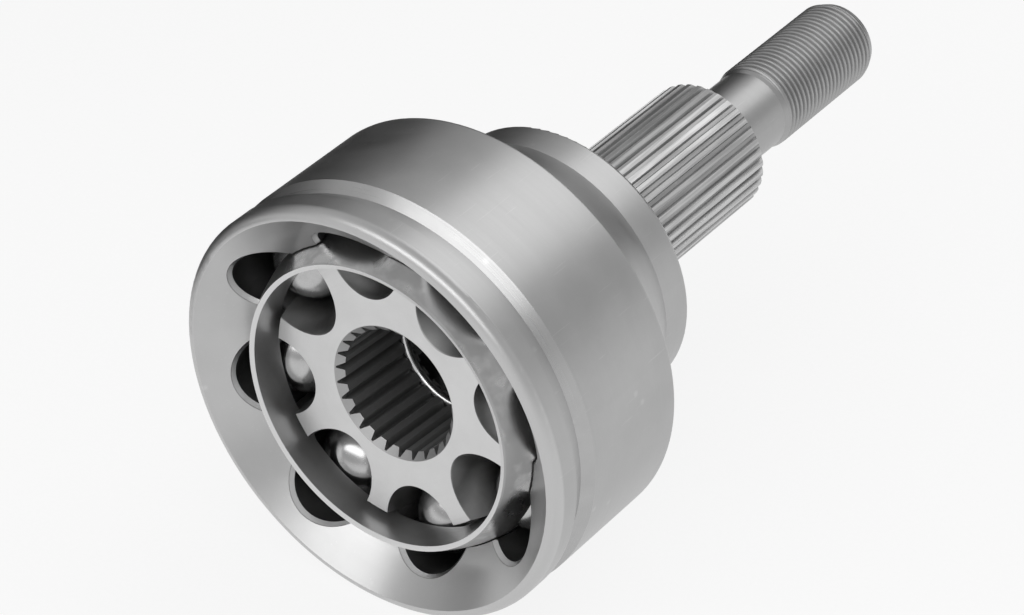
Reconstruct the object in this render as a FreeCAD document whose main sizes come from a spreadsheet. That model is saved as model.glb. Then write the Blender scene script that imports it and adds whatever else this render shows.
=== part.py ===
import FreeCAD, Part
import math
import os

import Sketcher
from FreeCAD import Vector

# Fixed ball joint of a drive shaft, wheel end, in millimetres.
# The shaft axis is Y: the open mouth faces -Y, the splined stub points to +Y, Z is up.
# The origin is the centre that the joint bends about. Radii are measured from the Y axis,
# and "front" means towards the mouth. At rest the joint is bent a little about X: the inner
# race by rest_bend, and the cage and the balls into the plane that halves that bend.
# The tracks alternate: every other one widens towards the mouth, and those between them widen
# towards the bowl, so the pushes that the balls give the cage cancel out.

doc = FreeCAD.newDocument("cv_joint")

# Driving sizes
SIZES = [
    # Balls and the tracks that they run in
    ("ball_radius", 8.731),
    ("track_pairs", 4),
    ("first_ball_angle", 16),
    ("pitch_radius", 32.4),
    ("track_offset", 2.4),
    ("track_side_clearance", 0.3),
    ("track_bottom_clearance", 1.5),
    ("rest_bend", -4.3),
    ("track_mouth_angle", 60),
    ("track_bowl_angle", 50),
    ("track_mouth_bevel", 0.8),
    # Cage, as walls outside and inside the pitch circle of the balls
    ("cage_outside", 3.6),
    ("cage_inside", 0.9),
    ("sphere_clearance", 0.3),
    ("cage_half_width", 17.1),
    ("cage_front_lip", 1.0),
    ("cage_front_slope", 0.35),
    ("cage_rear_lip", 4.2),
    ("window_side_clearance", 0.3),
    ("window_ball_travel", 1.45),
    ("window_corner", 2.5),
    # Inner race with its splined bore
    ("race_front", 11.0),
    ("race_back", 12.0),
    ("bore_tip_radius", 13.3),
    ("bore_tooth_depth", 1.3),
    ("bore_teeth", 26),
    ("bore_gap_angle", -1.8),
    ("bore_gap_at_tip", 1.75),
    ("bore_gap_at_root", 0.45),
    ("bore_front_bevel", 1.5),
    ("bore_back_bevel", 0.5),
    # Snap ring in the bore
    ("ring_wire_radius", 1.0),
    ("ring_clearance", 0.1),
    ("ring_groove_depth", 0.3),
    ("ring_from_back", 2.1),
    ("ring_opening", 40),
    ("ring_opening_angle", 70),
    # Bell of the outer race
    ("lip_front", 20.0),
    ("lip_width", 2.5),
    ("lip_step", 0.1),
    ("lip_round", 2.4),
    ("mouth_depth", 8.7),
    ("bell_wall", 3.68),
    ("boot_groove_from_lip", 6.5),
    ("boot_groove_width", 3.9),
    ("boot_groove_depth", 2.0),
    ("bell_length", 39.2),
    ("bell_round", 0.9),
    ("back_step", 6.4),
    ("back_bevel", 2.3),
    ("bowl_step_rise", 6.3),
    ("bowl_floor_rise", 2.8),
    ("bowl_floor_radius", 16.0),
    # Neck and shoulder that the wheel hub seats on
    ("neck_length", 19.3),
    ("shoulder_radius", 31.0),
    ("shoulder_length", 7.85),
    ("shoulder_round", 0.8),
    # Splined stub with its threaded end
    ("spline_tip_radius", 15.07),
    ("spline_depth", 0.8),
    ("spline_teeth", 36),
    ("spline_gap_angle", -3.5),
    ("spline_gap_at_tip", 1.5),
    ("spline_gap_at_root", 0.8),
    ("spline_length", 52.85),
    ("spline_bevel", 1.3),
    ("stem_radius", 9.24),
    ("stem_length", 16.2),
    ("thread_radius", 9.9),
    ("thread_run_in", 1.8),
    ("thread_length", 34.4),
    ("thread_bevel", 1.1),
    ("thread_bevel_length", 2.6),
    ("centre_hole_radius", 2.4),
    ("centre_hole_depth", 4.2),
]

sheet = doc.addObject("Spreadsheet::Sheet", "Sizes")
for row, (alias, size) in enumerate(SIZES, start=1):
    sheet.set("A%d" % row, alias)
    sheet.set("B%d" % row, str(size))
    sheet.setAlias("B%d" % row, alias)
doc.recompute()


def size_text(formula):
    """Formula text in which every named size points into the sheet."""
    known = [alias for alias, size in SIZES]
    out = ""
    word = ""
    for letter in formula + " ":
        if letter.isalnum() or letter == "_":
            word = word + letter
            continue
        out = out + ("Sizes." + word if word in known else word) + letter
        word = ""
    return out.strip()


def value(formula):
    """Number that a formula of named sizes gives."""
    return float(sheet.evalExpression(size_text(formula)))


# Sizes that follow from the driving ones
TRACK_RADIUS = "sqrt(pitch_radius^2 + track_offset^2)"
TRACK_HALF_WIDTH = "(ball_radius + track_side_clearance)"
TRACK_HALF_DEPTH = "(ball_radius + track_bottom_clearance)"
CAGE_OUTER = "(pitch_radius + cage_outside)"
CAGE_INNER = "(pitch_radius - cage_inside)"
BOWL_RADIUS = "(pitch_radius + cage_outside + sphere_clearance)"
RACE_RADIUS = "(pitch_radius - cage_inside - sphere_clearance)"
BELL_RADIUS = "(" + TRACK_RADIUS + " + " + TRACK_HALF_DEPTH + " + bell_wall)"
LIP_RADIUS = "(" + BELL_RADIUS + " - lip_step)"
BELL_BACK = "(bell_length - lip_front)"
HUB_FACE = "(bell_length - lip_front + neck_length + shoulder_length)"
SPLINE_END = "(" + HUB_FACE + " + spline_length)"
STEM_END = "(" + SPLINE_END + " + stem_length)"
STUB_TIP = "(" + STEM_END + " + thread_run_in + thread_length)"
BORE_ROOT = "(bore_tip_radius + bore_tooth_depth)"
RING_SEAT = "(bore_tip_radius + bore_tooth_depth + ring_groove_depth)"
RING_PLACE = "(race_back - ring_from_back)"


def on_circle(radius, height):
    """Radius from the axis of the point on a centred circle at one height."""
    return "sqrt(" + radius + "^2 - (" + height + ")^2)"


def origin_item(body, role):
    """Plane or axis of the body's own origin."""
    for item in body.Origin.OriginFeatures:
        if item.Role == role:
            return item
    raise ValueError(role)


def new_body(label, turn, bend):
    """Body turned about the shaft axis and then bent about X through the origin."""
    body = doc.addObject("PartDesign::Body", label)
    body.Label = label
    place = "placement(vector(0; 0; 0); rotation(vector(1; 0; 0); " + bend + ")"
    place = place + " * rotation(vector(0; -1; 0); " + turn + "))"
    body.setExpression("Placement", size_text(place))
    return body


def new_sketch(body, name, role, offset="0", turn="0"):
    """Sketch on one of the body's own planes, moved along its normal and turned about it."""
    sketch = body.newObject("Sketcher::SketchObject", name)
    sketch.AttachmentSupport = [(origin_item(body, role), "")]
    sketch.MapMode = "FlatFace"
    place = "placement(vector(0; 0; " + offset + "); rotation(vector(0; 0; 1); " + turn + "))"
    sketch.setExpression("AttachmentOffset", size_text(place))
    return sketch


def bind_distance(sketch, kind, side, end, formula):
    """Hold one point of a side at a distance, across or up, from the sketch's origin."""
    size = value(formula)
    if abs(size) < 1e-9:
        axis = -2 if kind == "DistanceX" else -1
        sketch.addConstraint(Sketcher.Constraint("PointOnObject", side, end, axis))
        return
    if size > 0:
        rule = Sketcher.Constraint(kind, -1, 1, side, end, size)
        text = size_text(formula)
    else:
        rule = Sketcher.Constraint(kind, side, end, -1, 1, -size)
        text = "-(" + size_text(formula) + ")"
    number = sketch.addConstraint(rule)
    sketch.setExpression("Constraints[%d]" % number, text)


def closed_outline(sketch, corners, arcs):
    """Closed outline with every corner bound to the sizes.

    A corner is a pair of formulas, across and up. arcs maps the number of a corner to
    the radius of the arc about the origin that runs from it to the next corner.
    """
    points = [(value(across), value(up)) for across, up in corners]
    sides = []
    for number, here in enumerate(points):
        there = points[(number + 1) % len(points)]
        if number not in arcs:
            line = Part.LineSegment(Vector(here[0], here[1], 0), Vector(there[0], there[1], 0))
            sides.append((sketch.addGeometry(line), 1, 2))
            continue
        turn_here = math.atan2(here[1], here[0])
        turn_there = math.atan2(there[1], there[0])
        circle = Part.Circle(Vector(0, 0, 0), Vector(0, 0, 1), value(arcs[number]))
        low, high = min(turn_here, turn_there), max(turn_here, turn_there)
        side = sketch.addGeometry(Part.ArcOfCircle(circle, low, high))
        sketch.addConstraint(Sketcher.Constraint("Coincident", side, 3, -1, 1))
        rule = sketch.addConstraint(Sketcher.Constraint("Radius", side, value(arcs[number])))
        sketch.setExpression("Constraints[%d]" % rule, size_text(arcs[number]))
        sides.append((side, 1, 2) if turn_here < turn_there else (side, 2, 1))
    for number, (side, start, end) in enumerate(sides):
        before = sides[number - 1]
        sketch.addConstraint(Sketcher.Constraint("Coincident", before[0], before[2], side, start))
        across, up = corners[number]
        bind_distance(sketch, "DistanceY", side, start, up)
        on_arc = number in arcs or (number - 1) % len(sides) in arcs
        if not on_arc:
            bind_distance(sketch, "DistanceX", side, start, across)


def rounded_rectangle(sketch, half_width, half_height, corner):
    """Rectangle about the sketch's origin with rounded corners."""
    wide, high, radius = value(half_width), value(half_height), value(corner)
    sides = [
        ((wide, radius - high), (wide, high - radius), "DistanceX", half_width),
        ((wide - radius, high), (radius - wide, high), "DistanceY", half_height),
        ((-wide, high - radius), (-wide, radius - high), "DistanceX", "-" + half_width),
        ((radius - wide, -high), (wide - radius, -high), "DistanceY", "-" + half_height),
    ]
    lines = []
    arcs = []
    for number, (start, end, kind, place) in enumerate(sides):
        line = sketch.addGeometry(Part.LineSegment(Vector(*start, 0), Vector(*end, 0)))
        upright = "Vertical" if kind == "DistanceX" else "Horizontal"
        sketch.addConstraint(Sketcher.Constraint(upright, line))
        bind_distance(sketch, kind, line, 1, place)
        side_x = 1 if number in (0, 3) else -1
        side_y = 1 if number in (0, 1) else -1
        centre = Vector(side_x * (wide - radius), side_y * (high - radius), 0)
        circle = Part.Circle(centre, Vector(0, 0, 1), radius)
        turn = number * math.pi / 2
        arc = sketch.addGeometry(Part.ArcOfCircle(circle, turn, turn + math.pi / 2))
        rule = sketch.addConstraint(Sketcher.Constraint("Radius", arc, radius))
        sketch.setExpression("Constraints[%d]" % rule, size_text(corner))
        lines.append(line)
        arcs.append(arc)
    for number, arc in enumerate(arcs):
        following = lines[(number + 1) % 4]
        sketch.addConstraint(Sketcher.Constraint("Tangent", lines[number], 2, arc, 1))
        sketch.addConstraint(Sketcher.Constraint("Tangent", arc, 2, following, 1))


def revolve(body, sketch, name):
    """Solid turned about the shaft axis from a profile."""
    solid = body.newObject("PartDesign::Revolution", name)
    solid.Profile = sketch
    solid.ReferenceAxis = (origin_item(body, "Y_Axis"), [""])
    solid.Angle = 360
    doc.recompute()
    return solid


def round_edges(body, name, rings, formula):
    """Fillet on the circular edges that lie at the given radius and height pairs."""
    base = body.Tip
    names = []
    for number, edge in enumerate(base.Shape.Edges, start=1):
        curve = edge.Curve
        if not isinstance(curve, Part.Circle) or abs(curve.Axis.y) < 0.99:
            continue
        for radius, height in rings:
            far = abs(curve.Radius - value(radius)) + abs(curve.Center.y - value(height))
            if far < 1e-4:
                names.append("Edge%d" % number)
    fillet = body.newObject("PartDesign::Fillet", name)
    fillet.Base = (base, names)
    fillet.setExpression("Radius", size_text(formula))
    doc.recompute()


def cut_tracks(body, name, turn, centre, front_angle, back_angle):
    """Every other ball track: an oval section, swung about a centre on the shaft axis."""
    sketch = new_sketch(body, name + "_section", "XZ_Plane", "-(" + centre + ")", turn)
    middle = Vector(value(TRACK_RADIUS), 0, 0)
    deep = middle + Vector(value(TRACK_HALF_DEPTH), 0, 0)
    wide = middle + Vector(0, value(TRACK_HALF_WIDTH), 0)
    oval = sketch.addGeometry(Part.Ellipse(deep, wide, middle))
    sketch.exposeInternalGeometry(oval)
    long_axis, short_axis = oval + 1, oval + 2
    sketch.addConstraint(Sketcher.Constraint("Horizontal", long_axis))
    sketch.addConstraint(Sketcher.Constraint("PointOnObject", oval, 3, -1))
    bind_distance(sketch, "DistanceX", oval, 3, TRACK_RADIUS)
    for axis, half in ((long_axis, TRACK_HALF_DEPTH), (short_axis, TRACK_HALF_WIDTH)):
        rule = sketch.addConstraint(Sketcher.Constraint("Distance", axis, 2 * value(half)))
        sketch.setExpression("Constraints[%d]" % rule, size_text("2 * " + half))
    volume = body.Tip.Shape.Volume
    track = body.newObject("PartDesign::Groove", name)
    track.Profile = sketch
    track.ReferenceAxis = (sketch, ["V_Axis"])
    track.Type = "TwoAngles"
    track.setExpression("Angle", size_text(back_angle))
    track.setExpression("Angle2", size_text(front_angle))
    doc.recompute()
    if track.Shape.Volume >= volume:
        raise ValueError(name + " cuts nothing")
    repeat(body, track, name + "s", "track_pairs")


def repeat(body, feature, name, count):
    """Copies of one feature, evenly spaced about the shaft axis."""
    pattern = body.newObject("PartDesign::PolarPattern", name)
    pattern.Originals = [feature]
    pattern.Axis = (origin_item(body, "Y_Axis"), [""])
    pattern.Angle = 360
    pattern.setExpression("Occurrences", size_text(count))
    body.Tip = pattern
    doc.recompute()


def bevel_track_mouths(body, name, formula):
    """Chamfer on the edges where the tracks break out through the mouth's cone."""
    base = body.Tip
    front_radius, front = value(LIP_RADIUS + " - lip_width"), value("-lip_front")
    back_radius, back = value(on_circle(BOWL_RADIUS, MOUTH_HEIGHT)), value(MOUTH_HEIGHT)
    slope = (back_radius - front_radius) / (back - front)
    names = []
    for number, edge in enumerate(base.Shape.Edges, start=1):
        if edge.Degenerated or isinstance(edge.Curve, (Part.Circle, Part.Line)):
            continue
        reach = edge.LastParameter - edge.FirstParameter
        points = [edge.valueAt(edge.FirstParameter + reach * step / 6) for step in range(7)]
        off = [math.hypot(at.x, at.z) - front_radius - slope * (at.y - front) for at in points]
        if max(abs(gap) for gap in off) < 0.01:
            names.append("Edge%d" % number)
    bevel = body.newObject("PartDesign::Chamfer", name)
    bevel.Base = (base, names)
    bevel.setExpression("Size", size_text(formula))
    doc.recompute()


def cut_spline_gaps(body, name, turn, start, length, inside, outside, count):
    """Gaps between spline teeth: one straight-sided gap, run along the shaft and repeated.

    inside and outside are pairs: the gap's radius there and its width there.
    """
    sketch = new_sketch(body, name + "_section", "XZ_Plane", "-(" + start + ")", turn)
    corners = [
        (inside[0], "-" + inside[1] + " / 2"),
        (outside[0], "-" + outside[1] + " / 2"),
        (outside[0], outside[1] + " / 2"),
        (inside[0], inside[1] + " / 2"),
    ]
    closed_outline(sketch, corners, {})
    volume = body.Tip.Shape.Volume
    gap = body.newObject("PartDesign::Pocket", name)
    gap.Profile = sketch
    gap.setExpression("Length", size_text(length))
    doc.recompute()
    if gap.Shape.Volume >= volume:
        raise ValueError(name + " cuts nothing")
    repeat(body, gap, name + "s", count)


# Outer race: bell with a spherical bowl, neck, shoulder and stub, forged as one piece
outer = new_body("outer_race", "first_ball_angle", "0")
profile = new_sketch(outer, "outer_profile", "XY_Plane")
STEP_HEIGHT = "(" + BOWL_RADIUS + " - bowl_step_rise)"
FLOOR_HEIGHT = "(" + BOWL_RADIUS + " - bowl_floor_rise)"
MOUTH_HEIGHT = "(mouth_depth - lip_front)"
GROOVE_FRONT = "(boot_groove_from_lip - lip_front)"
GROOVE_BACK = "(boot_groove_from_lip + boot_groove_width - lip_front)"
outer_corners = [
    ("0", FLOOR_HEIGHT),
    ("bowl_floor_radius", FLOOR_HEIGHT),
    (on_circle(BOWL_RADIUS, STEP_HEIGHT), STEP_HEIGHT),
    (on_circle(BOWL_RADIUS, MOUTH_HEIGHT), MOUTH_HEIGHT),
    (LIP_RADIUS + " - lip_width", "-lip_front"),
    (LIP_RADIUS, "-lip_front"),
    (LIP_RADIUS, GROOVE_FRONT),
    (BELL_RADIUS + " - boot_groove_depth", GROOVE_FRONT),
    (BELL_RADIUS + " - boot_groove_depth", GROOVE_BACK),
    (BELL_RADIUS, GROOVE_BACK + " + boot_groove_depth"),
    (BELL_RADIUS, BELL_BACK),
    (BELL_RADIUS + " - back_step", BELL_BACK + " + back_bevel"),
    ("shoulder_radius", BELL_BACK + " + neck_length"),
    ("shoulder_radius", HUB_FACE),
    ("spline_tip_radius", HUB_FACE),
    ("spline_tip_radius", SPLINE_END + " - spline_bevel"),
    ("spline_tip_radius - spline_bevel", SPLINE_END),
    ("stem_radius", SPLINE_END),
    ("stem_radius", STEM_END),
    ("thread_radius", STEM_END + " + thread_run_in"),
    ("thread_radius", STUB_TIP + " - thread_bevel_length"),
    ("thread_radius - thread_bevel", STUB_TIP),
    ("centre_hole_radius", STUB_TIP),
    ("0", STUB_TIP + " - centre_hole_depth"),
]
closed_outline(profile, outer_corners, {2: BOWL_RADIUS})
revolve(outer, profile, "outer_turning")
round_edges(outer, "lip_rounding", [(LIP_RADIUS, "-lip_front")], "lip_round")
round_edges(outer, "bell_rounding", [(BELL_RADIUS, BELL_BACK)], "bell_round")
round_edges(outer, "shoulder_rounding", [("shoulder_radius", HUB_FACE)], "shoulder_round")
cut_tracks(outer, "bowl_track", "0", "track_offset", "track_mouth_angle", "track_bowl_angle")
cut_tracks(outer, "mouth_track", "180 / track_pairs", "-track_offset",
           "track_mouth_angle", "track_bowl_angle")
bevel_track_mouths(outer, "track_mouth_bevels", "track_mouth_bevel")
hub_gap_root = ("spline_tip_radius - spline_depth", "spline_gap_at_root")
hub_gap_top = ("spline_tip_radius + spline_depth", "(2 * spline_gap_at_tip - spline_gap_at_root)")
cut_spline_gaps(outer, "hub_spline_gap", "spline_gap_angle", HUB_FACE, "spline_length",
                hub_gap_root, hub_gap_top, "spline_teeth")

# Cage: spherical band with one window per ball, its bore opened out at the mouth side
cage = new_body("cage", "first_ball_angle", "rest_bend / 2")
profile = new_sketch(cage, "cage_profile", "XY_Plane")
FRONT_BORE = "(" + on_circle(CAGE_OUTER, "cage_half_width") + " - cage_front_lip)"
REAR_BORE = "(" + on_circle(CAGE_OUTER, "cage_half_width") + " - cage_rear_lip)"
FRONT_BORE_END = "-sqrt(" + CAGE_INNER + "^2 - " + FRONT_BORE + "^2)"
REAR_BORE_END = "sqrt(" + CAGE_INNER + "^2 - " + REAR_BORE + "^2)"
cage_corners = [
    (on_circle(CAGE_OUTER, "cage_half_width"), "-cage_half_width"),
    (on_circle(CAGE_OUTER, "cage_half_width"), "cage_half_width"),
    (REAR_BORE, "cage_half_width"),
    (REAR_BORE, REAR_BORE_END),
    (FRONT_BORE, FRONT_BORE_END),
    (FRONT_BORE, "cage_front_slope - cage_half_width"),
]
closed_outline(profile, cage_corners, {0: CAGE_OUTER, 3: CAGE_INNER})
revolve(cage, profile, "cage_turning")
window = new_sketch(cage, "window_outline", "YZ_Plane")
rounded_rectangle(window, "(ball_radius + window_side_clearance)",
                  "(ball_radius + window_ball_travel)", "window_corner")
band_volume = cage.Tip.Shape.Volume
window_cut = cage.newObject("PartDesign::Pocket", "window")
window_cut.Profile = window
window_cut.Reversed = True
window_cut.setExpression("Length", size_text(CAGE_OUTER))
doc.recompute()
if window_cut.Shape.Volume >= band_volume:
    raise ValueError("the window cuts nothing")
repeat(cage, window_cut, "windows", "2 * track_pairs")

# Inner race: ball-shaped hub with one track per ball and a splined bore for the drive shaft.
# Its tracks swing about the mirror images of the centres that the outer race's tracks have.
inner = new_body("inner_race", "first_ball_angle", "rest_bend")
profile = new_sketch(inner, "inner_profile", "XY_Plane")
RING_FRONT = "(" + RING_PLACE + " - ring_wire_radius - ring_clearance)"
RING_BACK = "(" + RING_PLACE + " + ring_wire_radius + ring_clearance)"
inner_corners = [
    (on_circle(RACE_RADIUS, "race_front"), "-race_front"),
    (on_circle(RACE_RADIUS, "race_back"), "race_back"),
    ("bore_tip_radius + bore_back_bevel", "race_back"),
    ("bore_tip_radius", "race_back - bore_back_bevel"),
    ("bore_tip_radius", RING_BACK),
    (RING_SEAT, RING_BACK),
    (RING_SEAT, RING_FRONT),
    ("bore_tip_radius", RING_FRONT),
    ("bore_tip_radius", "bore_front_bevel - race_front"),
    ("bore_tip_radius + bore_front_bevel", "-race_front"),
]
closed_outline(profile, inner_corners, {0: RACE_RADIUS})
revolve(inner, profile, "inner_turning")
cut_tracks(inner, "inner_bowl_track", "0", "-track_offset",
           "track_mouth_angle", "track_mouth_angle")
cut_tracks(inner, "inner_mouth_track", "180 / track_pairs", "track_offset",
           "track_mouth_angle", "track_mouth_angle")
bore_gap_mouth = ("bore_tip_radius - bore_tooth_depth / 2",
                  "(1.5 * bore_gap_at_tip - 0.5 * bore_gap_at_root)")
bore_gap_root = (BORE_ROOT, "bore_gap_at_root")
cut_spline_gaps(inner, "bore_spline_gap", "bore_gap_angle", "-race_front",
                "(race_front + race_back)", bore_gap_mouth, bore_gap_root, "bore_teeth")

# Snap ring: open ring of round wire, sprung into the groove near the back of the bore
ring = new_body("circlip", "ring_opening_angle", "rest_bend")
ring_section = new_sketch(ring, "ring_section", "XY_Plane")
wire = ring_section.addGeometry(Part.Circle(Vector(1, 1, 0), Vector(0, 0, 1), 1))
rule = ring_section.addConstraint(Sketcher.Constraint("Radius", wire, value("ring_wire_radius")))
ring_section.setExpression("Constraints[%d]" % rule, size_text("ring_wire_radius"))
bind_distance(ring_section, "DistanceX", wire, 3, RING_SEAT + " - ring_clearance - ring_wire_radius")
bind_distance(ring_section, "DistanceY", wire, 3, RING_PLACE)
ring_turn = ring.newObject("PartDesign::Revolution", "ring_turning")
ring_turn.Profile = ring_section
ring_turn.ReferenceAxis = (origin_item(ring, "Y_Axis"), [""])
ring_turn.setExpression("Angle", size_text("360 - ring_opening"))
doc.recompute()

# Balls: one per track, where its track meets the plane that halves the bend
balls = []
for number in range(int(value("2 * track_pairs"))):
    ball = doc.addObject("Part::Sphere", "ball_%d" % (number + 1))
    ball.Label = "ball_%d" % (number + 1)
    in_mouth_track = number % 2 == 1
    centre = "(-track_offset)" if in_mouth_track else "track_offset"
    turn = "(first_ball_angle + %d * 180 / track_pairs)" % number
    lean = "atan(-sin(" + turn + ") * tan(rest_bend / 2))"
    across = "(" + centre + " * cos(" + lean + "))"
    reach = "(sqrt(" + TRACK_RADIUS + "^2 - " + across + "^2) + " + centre + " * sin(" + lean + "))"
    ball.setExpression("Radius", size_text("ball_radius"))
    ball.setExpression("Placement.Base.x", size_text(reach + " * cos(" + lean + ") * cos(" + turn + ")"))
    ball.setExpression("Placement.Base.y", size_text(reach + " * sin(" + lean + ")"))
    ball.setExpression("Placement.Base.z", size_text(reach + " * cos(" + lean + ") * sin(" + turn + ")"))
    balls.append(ball)
doc.recompute()

# Every piece is checked before any file is written
for item in doc.Objects:
    if "Invalid" in item.State or "Error" in item.State:
        raise ValueError(item.Name + " failed")
pieces = [outer, cage, inner, ring] + balls
for piece in pieces:
    if piece.Shape.isNull() or not piece.Shape.isValid() or len(piece.Shape.Solids) != 1:
        raise ValueError(piece.Label + " is not one sound solid")

os.makedirs("parts", exist_ok=True)
for piece in pieces:
    piece.Shape.exportStep("parts/" + piece.Label + ".step")
    print(piece.Label, round(piece.Shape.Volume, 1), piece.Shape.BoundBox)
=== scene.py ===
import math

import bpy
import numpy as np
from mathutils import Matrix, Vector


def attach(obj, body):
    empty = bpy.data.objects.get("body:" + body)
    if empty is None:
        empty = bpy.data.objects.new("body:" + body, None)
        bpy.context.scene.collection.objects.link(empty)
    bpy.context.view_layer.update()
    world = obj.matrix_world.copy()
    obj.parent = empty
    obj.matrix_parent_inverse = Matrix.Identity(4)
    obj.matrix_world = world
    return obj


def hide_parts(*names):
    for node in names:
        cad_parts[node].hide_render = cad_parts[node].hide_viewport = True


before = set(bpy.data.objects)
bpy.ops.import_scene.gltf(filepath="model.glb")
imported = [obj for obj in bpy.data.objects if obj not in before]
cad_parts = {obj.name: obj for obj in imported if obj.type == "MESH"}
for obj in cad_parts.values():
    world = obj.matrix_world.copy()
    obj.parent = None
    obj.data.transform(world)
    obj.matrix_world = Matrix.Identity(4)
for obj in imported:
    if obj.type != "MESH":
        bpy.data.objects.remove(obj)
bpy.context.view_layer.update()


# Outer race: one steel forging, turned all over outside. The bell holds the
# ground ball tracks, and the stub behind it has the rolled hub spline, a plain
# stem and a rolled thread that takes the axle nut.

# The threaded end, from the stem to the tip with its centre hole
THREAD_START = 0.1154
THREAD_FULL = 0.1172
THREAD_END = 0.1490
STUB_TIP = 0.1516
STEM_RADIUS = 0.00924
THREAD_RADIUS = 0.0099
THREAD_PITCH = 0.0015
THREAD_DEPTH = 0.00086
THREAD_CREST = 0.88
THREAD_FLANK = 0.66
RUN_IN_TURNS = 2
TIP_RADIUS = 0.0088
CENTRE_RADIUS = 0.0024
CENTRE_DEPTH = 0.0042
COLLAR = 0.0001
STEPS_PER_PITCH = 16
SAME_PLACE = 1e-6

# Where the finishes meet. The mouth's cone has the radius MOUTH_SUM less
# MOUTH_SLOPE times the place along the axis.
EDGE = 0.0001
MOUTH_SUM = 0.02242
MOUTH_SLOPE = 1.069
MOUTH_BACK = -0.0108
MOUTH_SKIN = (-0.0003, 0.0011)
BEVEL_SKIN = (0.0002, 0.0011)
INSIDE_REACH = 0.0451
LIP_INNER = 0.0438
LIP_BACK = -0.0172
LIP_ROUND = 0.0008
RAMP_START = -0.0096
RAMP_END = -0.0076
SPLINE_START = 0.0464
SPLINE_END = 0.0992
SPLINE_TIP = 0.0150
SPLINE_ROOT = 0.0144
STEM_FADE = 0.003

# Greys, roughnesses and heights of the marks, each from a pattern's low to its high
TURNED_GREY = (0.41, 0.47)
RAMP_GREY = (0.42, 0.48)
# Painted highlight: the lip is painted lighter than the turned steel around it.
LIP_HIGHLIGHT_GREY = 0.54
# Painted shade: the spline's grey darkens from the tooth tips to the roots, in the gaps.
TOOTH_GREY_WITH_GAP_SHADE = (0.38, 0.54)
ROLLED_SHADE = (0.84, 1.16)
MOUTH_GREY = (0.48, 0.52)
BEVEL_GREY = 0.9
# Inside the bell the steel is painted near black: partly oil, mostly painted shade.
TRACK_OIL_AND_SHADE_GREY = (0.15, 0.21)
# Painted shade: the stem past the spline is painted darker.
STEM_PAINTED_SHADE = 0.9
SCUFF_LIGHT = 0.04
NICK_LIGHT = 0.06
TURNED_ROUGH = (0.36, 0.40)
HANDLED_ROUGH = (-0.03, 0.03)
RAMP_ROUGH = (0.27, 0.33)
LIP_ROUGH = (0.36, 0.42)
TOOTH_ROUGH = (0.42, 0.50)
MOUTH_ROUGH = (0.29, 0.31)
TRACK_ROUGH = (0.35, 0.5)
TURNED_HEIGHT = 0.0000012
GROUND_HEIGHT = 0.0000006
ROLLED_HEIGHT = 0.00001
SCUFF_DEPTH = 0.000002
NICK_DEPTH = 0.000015

# How the patterns of tool marks, stains, scratches and dents are read
PATTERN_SPREAD = (0.3, 0.7)
CLOUD_SPREAD = (0.25, 0.75)
ROLLED_SPREAD = (0.35, 0.65)
LINE_SPACING = 0.00025
LINE_RISE = (0.8, 1.3)
DRAWN_OUT = 30.0
SCRATCH_FINENESS = 2600.0
SCRATCH_EDGE = 0.03
DENT_FADE = (0.28, 0.06)
DENT_EDGE = 0.02


def new_node(tree, kind, inputs=None, **settings):
    """A new shader node; inputs maps a socket's name or number to a value or another output."""
    made = tree.nodes.new(kind)
    for name, value in settings.items():
        setattr(made, name, value)
    for socket, value in (inputs or {}).items():
        if isinstance(value, bpy.types.NodeSocket):
            tree.links.new(value, made.inputs[socket])
        else:
            made.inputs[socket].default_value = value
    return made


def maths(tree, operation, *values):
    """The output of a Math node on one, two or three numbers or outputs."""
    inputs = dict(enumerate(values))
    return new_node(tree, "ShaderNodeMath", inputs, operation=operation).outputs[0]


def between(tree, value, start, end, low=0.0, high=1.0):
    """A smooth step: low where value is at start, high where it is at end, held outside them."""
    inputs = {"Value": value, "From Min": start, "From Max": end, "To Min": low, "To Max": high}
    made = new_node(tree, "ShaderNodeMapRange", inputs, interpolation_type="SMOOTHSTEP")
    return made.outputs["Result"]


def varied(tree, pattern, limits):
    """A pattern's usual spread turned into one between two limits."""
    return between(tree, pattern, *PATTERN_SPREAD, *limits)


def band(tree, value, start, end):
    """1 where value lies from start to end, and 0 from one edge's width outside them."""
    rise = between(tree, value, start - EDGE, start)
    return maths(tree, "MULTIPLY", rise, between(tree, value, end + EDGE, end))


def blend(tree, share, first, second):
    """first where share is 0, second where it is 1."""
    inputs = {"Factor": share, 2: first, 3: second}
    return new_node(tree, "ShaderNodeMix", inputs, data_type="FLOAT").outputs[0]


def noise(tree, point, scale, detail=2.0, roughness=0.5):
    """Smooth noise from 0 to 1 at a point."""
    inputs = {"Vector": point, "Scale": scale, "Detail": detail, "Roughness": roughness}
    return new_node(tree, "ShaderNodeTexNoise", inputs).outputs["Fac"]


def length(tree, vector):
    """The length of a vector output."""
    return new_node(tree, "ShaderNodeVectorMath", {0: vector}, operation="LENGTH").outputs["Value"]


def round_the_axis(tree, lean=0.0):
    """Point, place along the axis, radius and distance from the origin; lean turns it about X."""
    place = new_node(tree, "ShaderNodeTexCoord").outputs["Object"]
    turn = (math.radians(-lean), 0.0, 0.0)
    point = new_node(tree, "ShaderNodeMapping", {"Vector": place, "Rotation": turn}).outputs[0]
    parts = new_node(tree, "ShaderNodeSeparateXYZ", {"Vector": point}).outputs
    across = new_node(tree, "ShaderNodeCombineXYZ", {0: parts[0], 2: parts[2]}).outputs[0]
    return point, parts[1], length(tree, across), length(tree, point)


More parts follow.
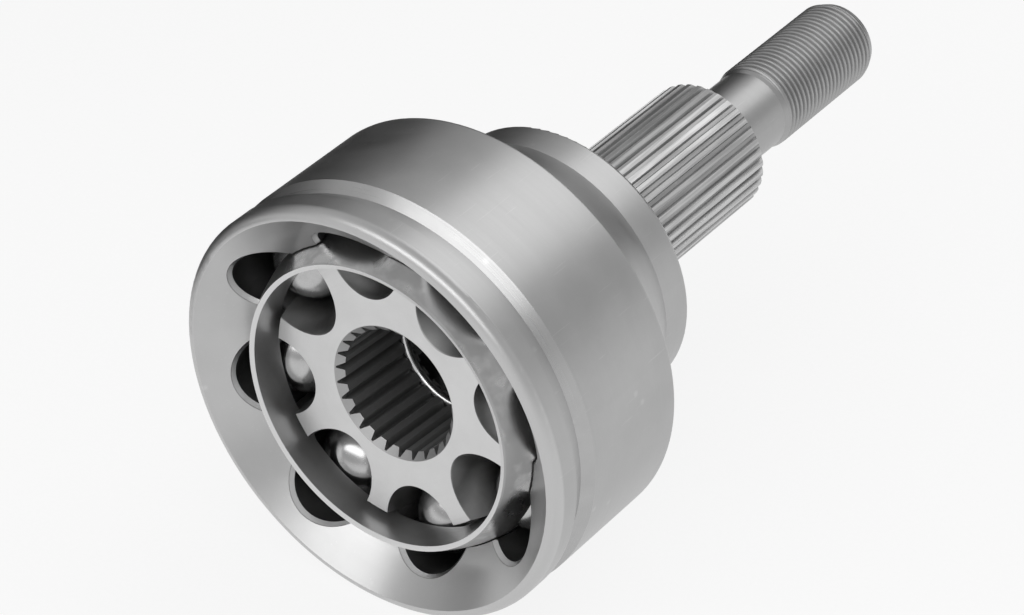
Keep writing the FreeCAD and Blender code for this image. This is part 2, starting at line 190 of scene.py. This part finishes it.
def turning_lines(tree, point, along, radius, spacing):
    """Tool marks from 0 to 1: rings round the axis that fade and swell as they go round.

    The noise is read at the point's direction from the axis, lifted by a share of
    the place along the axis and a share of the radius, both over the spacing, so
    that cylinders, cones and flat faces all get rings.
    """
    profile = maths(tree, "ADD", maths(tree, "MULTIPLY", along, LINE_RISE[0]),
                    maths(tree, "MULTIPLY", radius, LINE_RISE[1]))
    lift = new_node(tree, "ShaderNodeCombineXYZ", {1: maths(tree, "DIVIDE", profile, spacing)})
    flat = new_node(tree, "ShaderNodeVectorMath", {0: point, 1: (1.0, 0.0, 1.0)},
                    operation="MULTIPLY")
    way = new_node(tree, "ShaderNodeVectorMath", {0: flat.outputs[0]}, operation="NORMALIZE")
    spot = new_node(tree, "ShaderNodeVectorMath", {0: way.outputs[0], 1: lift.outputs[0]},
                    operation="ADD")
    return noise(tree, spot.outputs[0], scale=1.0, detail=3.0)


def drawn_lines(tree, point, turn, fineness, detail=1.0):
    """Noise drawn out long in one direction, which is along the axis where turn is zero."""
    scale = (fineness, fineness / DRAWN_OUT, fineness)
    inputs = {"Vector": point, "Rotation": turn, "Scale": scale}
    drawn = new_node(tree, "ShaderNodeMapping", inputs).outputs[0]
    return noise(tree, drawn, scale=1.0, detail=detail)


def scratches(tree, point, turn, rarity):
    """Fine straight scratches, 1 on a scratch: the tops of noise drawn out long."""
    lines = drawn_lines(tree, point, turn, SCRATCH_FINENESS)
    return between(tree, lines, rarity, rarity + SCRATCH_EDGE)


def dents(tree, point, size, rarity):
    """Small handling dents, 1 at the middle: spots in a few of the cells of a cell pattern."""
    cells = new_node(tree, "ShaderNodeTexVoronoi", {"Vector": point, "Scale": 1.0 / size}).outputs
    chosen = new_node(tree, "ShaderNodeSeparateColor", {0: cells["Color"]}).outputs[0]
    spot = between(tree, cells["Distance"], *DENT_FADE)
    return maths(tree, "MULTIPLY", spot, between(tree, chosen, rarity, rarity + DENT_EDGE))


def even_grey(tree, shade):
    """A colour output with one shade in all three channels."""
    return new_node(tree, "ShaderNodeCombineColor", {0: shade, 1: shade, 2: shade}).outputs[0]


def metal(name):
    """A bare metal material and its tree."""
    material = bpy.data.materials.new(name)
    material.use_nodes = True
    material.node_tree.nodes["Principled BSDF"].inputs["Metallic"].default_value = 1.0
    return material, material.node_tree


def finish_metal(tree, grey, rough, height):
    """Joins a grey, a roughness and a height in metres to the metal's shader."""
    shader = tree.nodes["Principled BSDF"]
    tree.links.new(even_grey(tree, grey), shader.inputs["Base Color"])
    tree.links.new(rough, shader.inputs["Roughness"])
    relief = new_node(tree, "ShaderNodeBump", {"Height": height, "Distance": 1.0, "Strength": 1.0})
    tree.links.new(relief.outputs["Normal"], shader.inputs["Normal"])


def threaded_end(ring_angles):
    """Points and faces of the threaded end, with columns at and midway between the angles.

    The radius at angle a and place y is the smaller of the turned blank's and of the
    thread's: the crest radius less the depth times a rounded trapezoid wave of
    y / pitch - a / full turn, which grows over the run-in. The last rings close the
    end face and the centre hole's cone to its point.
    """
    steps = int((STUB_TIP - THREAD_START) / THREAD_PITCH * STEPS_PER_PITCH)
    along = np.linspace(THREAD_START + COLLAR, STUB_TIP, steps)
    blank = np.interp(along, [THREAD_START, THREAD_FULL, THREAD_END, STUB_TIP],
                      [STEM_RADIUS, THREAD_RADIUS, THREAD_RADIUS, TIP_RADIUS])
    following = np.append(ring_angles[1:], ring_angles[0] + 2 * np.pi)
    angle = np.stack([ring_angles, (ring_angles + following) / 2], -1).ravel()
    y, a = np.meshgrid(along, angle, indexing="ij")
    wave = np.abs((y / THREAD_PITCH - a / (2 * np.pi)) % 1.0 - 0.5) * 2
    groove = np.clip((THREAD_CREST - wave) / THREAD_FLANK, 0.0, 1.0)
    groove = groove * groove * (3 - 2 * groove)
    growth = np.clip((y - THREAD_START) / (RUN_IN_TURNS * THREAD_PITCH), 0.0, 1.0)
    radius = np.minimum(blank[:, None], THREAD_RADIUS - THREAD_DEPTH * groove * growth)
    rings = [np.stack([radius * np.cos(a), y, radius * np.sin(a)], -1)]
    hole = ((CENTRE_RADIUS, STUB_TIP), (CENTRE_RADIUS / 2, STUB_TIP - CENTRE_DEPTH / 2))
    for ring_radius, place in hole:
        level = np.full_like(angle, place)
        circle = [ring_radius * np.cos(angle), level, ring_radius * np.sin(angle)]
        rings.append(np.stack(circle, -1)[None])
    grid = np.concatenate(rings)
    rows, columns = grid.shape[:2]
    number = np.arange(rows * columns).reshape(rows, columns)
    near, far = number[:-1], number[1:]
    quads = np.stack([near, far, np.roll(far, -1, 1), np.roll(near, -1, 1)], -1).reshape(-1, 4)
    last = number[-1]
    point = np.full(columns, rows * columns)
    tip = np.stack([last, point, np.roll(last, -1)], -1)
    points = np.concatenate([grid.reshape(-1, 3), [[0.0, STUB_TIP - CENTRE_DEPTH, 0.0]]])
    return points, quads, tip


def outer_race_mesh():
    """The node's own surface up to the stem's end, joined to the threaded end by a collar.

    The collar has three triangles per edge of the ring where the stem ends, because
    the threaded end has a column at each of the ring's points and one midway.
    """
    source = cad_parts["outer_race"].data
    places = np.empty(len(source.vertices) * 3)
    source.vertices.foreach_get("co", places)
    corners = np.empty(len(source.loops), dtype=int)
    source.loops.foreach_get("vertex_index", corners)
    normals = np.empty(len(source.loops) * 3)
    source.corner_normals.foreach_get("vector", normals)
    cells = np.round(places.reshape(-1, 3) / SAME_PLACE).astype(int)
    _, first, merged = np.unique(cells, axis=0, return_index=True, return_inverse=True)
    points = places.reshape(-1, 3)[first]
    faces = merged.ravel()[corners].reshape(-1, 3)
    normals = normals.reshape(-1, 3, 3)
    whole = (faces != np.roll(faces, 1, 1)).all(1)
    before = points[faces, 1].max(1) < THREAD_START + SAME_PLACE
    faces, normals = faces[whole & before], normals[whole & before]

    at_end = np.abs(points[:, 1] - THREAD_START) < SAME_PLACE
    ring = np.intersect1d(np.flatnonzero(at_end), faces)
    turn = np.arctan2(points[ring, 2], points[ring, 0])
    ring, turn = ring[np.argsort(turn)], np.sort(turn)
    end_points, quads, tip = threaded_end(turn)
    start = len(points)
    row = start + np.arange(2 * len(ring))
    here, after = ring, np.roll(ring, -1)
    middle, next_row = row[1::2], np.roll(row[0::2], -1)
    collar = np.concatenate([np.stack([here, row[0::2], middle], -1),
                             np.stack([here, middle, after], -1),
                             np.stack([after, middle, next_row], -1)])
    all_points = np.concatenate([points, end_points])
    all_faces = faces.tolist() + collar.tolist() + (quads + start).tolist() + (tip + start).tolist()
    mesh = bpy.data.meshes.new("outer_race_turned")
    mesh.from_pydata(all_points.tolist(), [], all_faces)
    mesh.shade_smooth()
    added = 3 * len(collar) + 4 * len(quads) + 3 * len(tip)
    kept = normals.reshape(-1, 3)
    mesh.normals_split_custom_set(np.concatenate([kept, np.zeros((added, 3))]))
    return mesh


def turned_steel():
    """Satin turned steel outside, ground at the mouth, dark inside: oil and painted shade."""
    material, tree = metal("turned_steel")
    point, along, radius, reach = round_the_axis(tree)
    lines = turning_lines(tree, point, along, radius, LINE_SPACING)
    cloud = noise(tree, point, scale=45.0, detail=5.0, roughness=0.6)
    rolled = drawn_lines(tree, point, turn=(0.0, 0.0, 0.0), fineness=1500.0, detail=2.0)
    scuffs = scratches(tree, point, turn=(0.0, 0.4, 0.9), rarity=0.72)
    nicks = dents(tree, point, size=0.0035, rarity=0.95)

    depth = maths(tree, "ADD", maths(tree, "MULTIPLY", along, MOUTH_SLOPE), radius)
    depth = maths(tree, "SUBTRACT", depth, MOUTH_SUM)
    front = maths(tree, "MULTIPLY", between(tree, along, MOUTH_BACK + 2 * EDGE, MOUTH_BACK),
                  between(tree, radius, LIP_INNER + EDGE, LIP_INNER))
    mouth = maths(tree, "MULTIPLY", front, band(tree, depth, *MOUTH_SKIN))
    bevel = maths(tree, "MULTIPLY", front, band(tree, depth, *BEVEL_SKIN))
    within = between(tree, reach, INSIDE_REACH, INSIDE_REACH - 2 * EDGE)
    inside = maths(tree, "MULTIPLY", within, maths(tree, "SUBTRACT", 1.0, mouth))
    lip = maths(tree, "MULTIPLY", between(tree, along, LIP_BACK, LIP_BACK - LIP_ROUND),
                between(tree, radius, LIP_INNER - EDGE, LIP_INNER))
    ramp = band(tree, along, RAMP_START, RAMP_END)
    toothed = maths(tree, "MULTIPLY", band(tree, along, SPLINE_START, SPLINE_END),
                    band(tree, radius, SPLINE_ROOT - 3 * EDGE, SPLINE_TIP + EDGE))
    # Painted shade: the stem past the spline is painted darker.
    stem = between(tree, along, SPLINE_END, SPLINE_END + STEM_FADE, 1.0, STEM_PAINTED_SHADE)
    # Painted shade in the gaps: the teeth are darker at the roots than at the tips.
    gap_shaded_tooth = maths(tree, "MULTIPLY", between(tree, radius, SPLINE_ROOT, SPLINE_TIP, *TOOTH_GREY_WITH_GAP_SHADE),
                  between(tree, rolled, *ROLLED_SPREAD, *ROLLED_SHADE))

    grey = maths(tree, "MULTIPLY", between(tree, cloud, *CLOUD_SPREAD, *TURNED_GREY), stem)
    grey = blend(tree, ramp, grey, varied(tree, cloud, RAMP_GREY))
    # Painted highlight: the lip is painted lighter than the turned steel.
    grey = blend(tree, lip, grey, LIP_HIGHLIGHT_GREY)
    grey = blend(tree, toothed, grey, gap_shaded_tooth)
    grey = blend(tree, mouth, grey, varied(tree, cloud, MOUTH_GREY))
    grey = blend(tree, bevel, grey, BEVEL_GREY)
    # Inside the bell: partly oil, mostly painted shade.
    grey = blend(tree, inside, grey, varied(tree, cloud, TRACK_OIL_AND_SHADE_GREY))
    grey = maths(tree, "ADD", grey, maths(tree, "MULTIPLY", scuffs, SCUFF_LIGHT))
    grey = maths(tree, "ADD", grey, maths(tree, "MULTIPLY", nicks, NICK_LIGHT))

    rough = maths(tree, "ADD", varied(tree, lines, TURNED_ROUGH),
                  varied(tree, cloud, HANDLED_ROUGH))
    rough = blend(tree, ramp, rough, varied(tree, lines, RAMP_ROUGH))
    rough = blend(tree, lip, rough, varied(tree, cloud, LIP_ROUGH))
    rough = blend(tree, toothed, rough, varied(tree, cloud, TOOTH_ROUGH))
    rough = blend(tree, mouth, rough, varied(tree, lines, MOUTH_ROUGH))
    rough = blend(tree, inside, rough, varied(tree, cloud, TRACK_ROUGH))

    height = maths(tree, "MULTIPLY", lines, blend(tree, mouth, TURNED_HEIGHT, GROUND_HEIGHT))
    height = blend(tree, toothed, height, maths(tree, "MULTIPLY", rolled, ROLLED_HEIGHT))
    height = maths(tree, "SUBTRACT", height, maths(tree, "MULTIPLY", scuffs, SCUFF_DEPTH))
    height = maths(tree, "SUBTRACT", height, maths(tree, "MULTIPLY", nicks, NICK_DEPTH))
    finish_metal(tree, grey, rough, height)
    return material


outer_race = bpy.data.objects.new("outer_race_turned", outer_race_mesh())
bpy.context.scene.collection.objects.link(outer_race)
outer_race.data.materials.append(turned_steel())
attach(outer_race, "outer_race")
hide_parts("outer_race")


# Cage: a case-hardened steel band, ground to a sphere inside and out, with one
# punched and broached window per ball. Its narrow front ring is faced bright,
# and pale patches are painted on its outer sphere as reflections.

CAGE_LEAN = -2.15
CAGE_OUTER = 0.0360
CAGE_FACE = -0.0168
RING_INNER = 0.0303
REFLECTION_PATCH_EDGE = (0.50, 0.64)
WALL_GREY = (0.50, 0.58)
SPHERE_GREY = (0.54, 0.60)
REFLECTION_PATCH_GREY = 0.78
RING_GREY = 0.66
WALL_ROUGH = (0.36, 0.44)
SPHERE_ROUGH = (0.32, 0.36)
REFLECTION_PATCH_ROUGH = 0.26
CAGE_HEIGHT = 0.0000015


def cage_steel():
    """Ground outer sphere with painted reflections, bright ring faces and a darker inner wall."""
    material, tree = metal("cage_steel")
    point, along, radius, reach = round_the_axis(tree, CAGE_LEAN)
    lines = turning_lines(tree, point, along, radius, LINE_SPACING)
    cloud = noise(tree, point, scale=70.0, detail=4.0, roughness=0.6)
    # Pale patches on the outer sphere: painted reflections.
    reflected_patches = between(tree, noise(tree, point, scale=130.0, detail=3.0), *REFLECTION_PATCH_EDGE)
    outside = between(tree, reach, CAGE_OUTER - 4 * EDGE, CAGE_OUTER - EDGE)
    ring = maths(tree, "MULTIPLY", between(tree, along, CAGE_FACE + 3 * EDGE, CAGE_FACE),
                 between(tree, radius, RING_INNER, RING_INNER + 3 * EDGE))

    sphere = blend(tree, reflected_patches, varied(tree, cloud, SPHERE_GREY), REFLECTION_PATCH_GREY)
    grey = blend(tree, outside, varied(tree, cloud, WALL_GREY), sphere)
    grey = blend(tree, ring, grey, RING_GREY)
    sphere = blend(tree, reflected_patches, varied(tree, lines, SPHERE_ROUGH), REFLECTION_PATCH_ROUGH)
    rough = blend(tree, outside, varied(tree, lines, WALL_ROUGH), sphere)
    finish_metal(tree, grey, rough, maths(tree, "MULTIPLY", lines, CAGE_HEIGHT))
    return material


def dress(node, material):
    """Gives a CAD node one material."""
    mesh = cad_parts[node].data
    mesh.materials.clear()
    mesh.materials.append(material)


dress("cage", cage_steel())


# Inner race: a case-hardened hub with ground tracks and a broached spline for
# the drive shaft. Its front face is fine turned and left bright.

RACE_LEAN = -4.3
RACE_FRONT = -0.0110
BORE_RADIUS = 0.0148
BORE_BEVEL_END = -0.0094
BORE_TOOTH_TIP = 0.0133
BORE_TOOTH_ROOT = 0.0144
RACE_GREY = (0.36, 0.44)
FACE_GREY = (0.62, 0.66)
BORE_BEVEL_GREY = 0.42
# The bore is oiled, and painted darker from the tooth tips to the roots as shade in the gaps.
OILED_GREY_WITH_GAP_SHADE = (0.38, 0.25)
RACE_SCUFF_LIGHT = 0.03
RACE_ROUGH = (0.34, 0.42)
BORE_BEVEL_ROUGH = 0.5
OILED_ROUGH = 0.6
RACE_HEIGHT = 0.000001


def race_steel():
    """Fine turned faces, ground tracks and ball surface, a dark bore: oil and painted shade."""
    material, tree = metal("race_steel")
    point, along, radius, _ = round_the_axis(tree, RACE_LEAN)
    lines = turning_lines(tree, point, along, radius, LINE_SPACING)
    cloud = noise(tree, point, scale=90.0, detail=4.0, roughness=0.6)
    scuffs = scratches(tree, point, turn=(0.3, 1.1, 0.5), rarity=0.71)
    face = between(tree, along, RACE_FRONT + 3 * EDGE, RACE_FRONT + EDGE)
    bevel = maths(tree, "MULTIPLY", between(tree, radius, BORE_RADIUS + EDGE, BORE_RADIUS),
                  between(tree, along, BORE_BEVEL_END, BORE_BEVEL_END - 3 * EDGE))
    bore = maths(tree, "MULTIPLY",
                 between(tree, radius, BORE_RADIUS + 5 * EDGE, BORE_RADIUS + 3 * EDGE),
                 between(tree, along, BORE_BEVEL_END - 2 * EDGE, BORE_BEVEL_END + 2 * EDGE))

    grey = blend(tree, face, varied(tree, cloud, RACE_GREY), varied(tree, cloud, FACE_GREY))
    grey = blend(tree, bevel, grey, BORE_BEVEL_GREY)
    # Oil, plus painted shade: darker from the tooth tips to the roots.
    oiled_and_gap_shaded = between(tree, radius, BORE_TOOTH_TIP, BORE_TOOTH_ROOT, *OILED_GREY_WITH_GAP_SHADE)
    grey = blend(tree, bore, grey, oiled_and_gap_shaded)
    grey = maths(tree, "ADD", grey, maths(tree, "MULTIPLY", scuffs, RACE_SCUFF_LIGHT))
    rough = blend(tree, bevel, varied(tree, lines, RACE_ROUGH), BORE_BEVEL_ROUGH)
    rough = blend(tree, bore, rough, OILED_ROUGH)
    height = maths(tree, "MULTIPLY", lines, RACE_HEIGHT)
    height = maths(tree, "SUBTRACT", height, maths(tree, "MULTIPLY", scuffs, SCUFF_DEPTH))
    finish_metal(tree, grey, rough, height)
    return material


dress("inner_race", race_steel())


# Snap ring: hard drawn spring wire, bent to an open ring and sprung into the
# groove in the inner race's bore, where it holds the drive shaft.

WIRE_SPACING = 0.0001
WIRE_GREY = (0.62, 0.74)
WIRE_ROUGH = (0.16, 0.26)
WIRE_HEIGHT = 0.000001


def spring_wire():
    """Bright drawn wire with faint lines and darker spots."""
    material, tree = metal("spring_wire")
    point, along, radius, _ = round_the_axis(tree, RACE_LEAN)
    lines = turning_lines(tree, point, along, radius, WIRE_SPACING)
    spots = noise(tree, point, scale=400.0, detail=3.0)
    finish_metal(tree, varied(tree, spots, WIRE_GREY), varied(tree, lines, WIRE_ROUGH),
                 maths(tree, "MULTIPLY", lines, WIRE_HEIGHT))
    return material


dress("circlip", spring_wire())


# Balls: eight through-hardened bearing balls, lapped and polished, held in the
# cage's windows. Rolling has left a faint haze and hairlines on them.

BALL_COUNT = 8
BALL_GREY = (0.46, 0.54)
BALL_ROUGH = (0.20, 0.26)
HAIR_ROUGH = 0.1
HAIR_DEPTH = 0.000001


def bearing_ball():
    """Polished steel with a faint haze and hairlines."""
    material, tree = metal("bearing_ball")
    point = round_the_axis(tree)[0]
    haze = noise(tree, point, scale=160.0, detail=4.0, roughness=0.6)
    hairs = scratches(tree, point, turn=(0.8, 0.2, 1.3), rarity=0.71)
    rough = maths(tree, "ADD", varied(tree, haze, BALL_ROUGH),
                  maths(tree, "MULTIPLY", hairs, HAIR_ROUGH))
    height = maths(tree, "MULTIPLY", hairs, -HAIR_DEPTH)
    finish_metal(tree, varied(tree, haze, BALL_GREY), rough, height)
    return material


polished = bearing_ball()
for number in range(1, BALL_COUNT + 1):
    dress("ball_%d" % number, polished)


# Stage: a pale sheet of paper under the joint, in a pale studio with two soft
# lamps. The dark cards to the left and behind stand out of the camera's sight
# and throw no shadow: the metal reflects them.

FLOOR = -0.0465
SHEET = 40.0
PAPER_SHADE = (0.84, 0.88)
PAPER_GLOW = 0.85
CARD_SHADE = (0.02, 0.35)
CARD_BLACK_FROM = 0.05
CARD_GREY_FROM = -0.25
CARD_FRONT = (-0.51, -0.28)
CARD_CORNER = (-0.16, 0.40)
CARD_END = (0.12, 0.42)
SIDE_CARD_TOP = 0.19
BACK_CARD_TOP = 0.05
LOW_CARD_FRONT = (-0.17, -0.28)
LOW_CARD_BACK = (-0.12, 0.40)
LOW_CARD_LIFT = 0.0005
STUDIO_GREY = 0.58
HORIZON_WHITE = 0.93
HORIZON_FADE = (0.09, 0.20)
LAMP_AIM = (0.0, 0.05, 0.0)
CAMERA_PLACE = (0.3460, -0.4369, 0.4324)
CAMERA_BACK = (0.47792, -0.64228, 0.59922)
CAMERA_LENS = 124.95
CAMERA_SENSOR = 36.0


def flat_sheet(name, outline, low, high, material):
    """A stage piece on four points of the plan, the first two at low and the last two at high."""
    levels = (low, low, high, high)
    corners = [(x, y, level) for (x, y), level in zip(outline, levels)]
    mesh = bpy.data.meshes.new(name)
    mesh.from_pydata(corners, [], [(0, 1, 2, 3)])
    sheet = bpy.data.objects.new(name, mesh)
    bpy.context.scene.collection.objects.link(sheet)
    mesh.materials.append(material)
    return sheet


def paper(name):
    """A material with an empty tree, its tree, and the place of the point."""
    material = bpy.data.materials.new(name)
    material.use_nodes = True
    tree = material.node_tree
    tree.nodes.clear()
    return material, tree, new_node(tree, "ShaderNodeTexCoord").outputs["Object"]


def pale_paper():
    """White paper that shows itself to the camera and in the metal, and keeps the shadow."""
    material, tree, place = paper("pale_paper")
    shade = varied(tree, noise(tree, place, scale=900.0, detail=3.0), PAPER_SHADE)
    matt = new_node(tree, "ShaderNodeBsdfDiffuse", {"Color": even_grey(tree, shade)})
    glow = new_node(tree, "ShaderNodeEmission", {"Color": (1.0, 1.0, 1.0, 1.0), "Strength": 1.0})
    rays = new_node(tree, "ShaderNodeLightPath").outputs
    seen = maths(tree, "MAXIMUM", rays["Is Glossy Ray"], rays["Is Transmission Ray"])
    seen = maths(tree, "MAXIMUM", rays["Is Camera Ray"], seen)
    inputs = {0: maths(tree, "MULTIPLY", seen, PAPER_GLOW), 1: matt.outputs[0], 2: glow.outputs[0]}
    both = new_node(tree, "ShaderNodeMixShader", inputs)
    new_node(tree, "ShaderNodeOutputMaterial", {0: both.outputs[0]})
    return material


def dark_paper():
    """Matt card, black at the back and grey towards the front."""
    material, tree, place = paper("dark_paper")
    parts = new_node(tree, "ShaderNodeSeparateXYZ", {"Vector": place}).outputs
    shade = between(tree, parts[1], CARD_BLACK_FROM, CARD_GREY_FROM, *CARD_SHADE)
    matt = new_node(tree, "ShaderNodeBsdfDiffuse", {"Color": even_grey(tree, shade)})
    new_node(tree, "ShaderNodeOutputMaterial", {0: matt.outputs[0]})
    return material


outline = [(-SHEET, -SHEET), (SHEET, -SHEET), (SHEET, SHEET), (-SHEET, SHEET)]
flat_sheet("floor", outline, FLOOR, FLOOR, pale_paper())
card_paper = dark_paper()
outline = [CARD_FRONT, CARD_CORNER, CARD_CORNER, CARD_FRONT]
side_card = flat_sheet("side_card", outline, FLOOR, SIDE_CARD_TOP, card_paper)
outline = [CARD_CORNER, CARD_END, CARD_END, CARD_CORNER]
back_card = flat_sheet("back_card", outline, FLOOR, BACK_CARD_TOP, card_paper)
outline = [CARD_FRONT, LOW_CARD_FRONT, LOW_CARD_BACK, CARD_CORNER]
level = FLOOR + LOW_CARD_LIFT
low_card = flat_sheet("low_card", outline, level, level, card_paper)
low_card.visible_diffuse = False
for card in (side_card, back_card, low_card):
    card.visible_camera = False
    card.visible_shadow = False

world = bpy.data.worlds.new("studio")
bpy.context.scene.world = world
world.use_nodes = True
studio = world.node_tree
way = new_node(studio, "ShaderNodeTexCoord").outputs["Generated"]
climb = new_node(studio, "ShaderNodeSeparateXYZ", {"Vector": way}).outputs[2]
shade = between(studio, climb, *HORIZON_FADE, HORIZON_WHITE, STUDIO_GREY)
studio.links.new(even_grey(studio, shade), studio.nodes["Background"].inputs["Color"])
studio.nodes["Background"].inputs["Strength"].default_value = 1.0


def softbox(name, direction, distance, size, power):
    """A rectangular lamp that looks at the joint from one direction."""
    data = bpy.data.lights.new(name, "AREA")
    data.shape = "RECTANGLE"
    data.size, data.size_y = size
    data.energy = power
    lamp = bpy.data.objects.new(name, data)
    bpy.context.scene.collection.objects.link(lamp)
    direction = Vector(direction).normalized()
    lamp.location = Vector(LAMP_AIM) + direction * distance
    lamp.rotation_mode = "QUATERNION"
    lamp.rotation_quaternion = direction.to_track_quat("Z", "Y")


softbox("behind_above", direction=(0.10, 0.62, 0.77), distance=1.3, size=(0.95, 0.8), power=2.8)
softbox("front_above", direction=(-0.02, -0.76, 0.64), distance=1.2, size=(1.35, 0.42), power=3.6)

camera = bpy.data.objects.new("camera", bpy.data.cameras.new("camera"))
bpy.context.scene.collection.objects.link(camera)
camera.data.lens = CAMERA_LENS
camera.data.sensor_width = CAMERA_SENSOR
camera.location = CAMERA_PLACE
camera.rotation_mode = "QUATERNION"
camera.rotation_quaternion = Vector(CAMERA_BACK).to_track_quat("Z", "Y")
bpy.context.scene.camera = camera
bpy.context.scene.view_settings.view_transform = "Standard"
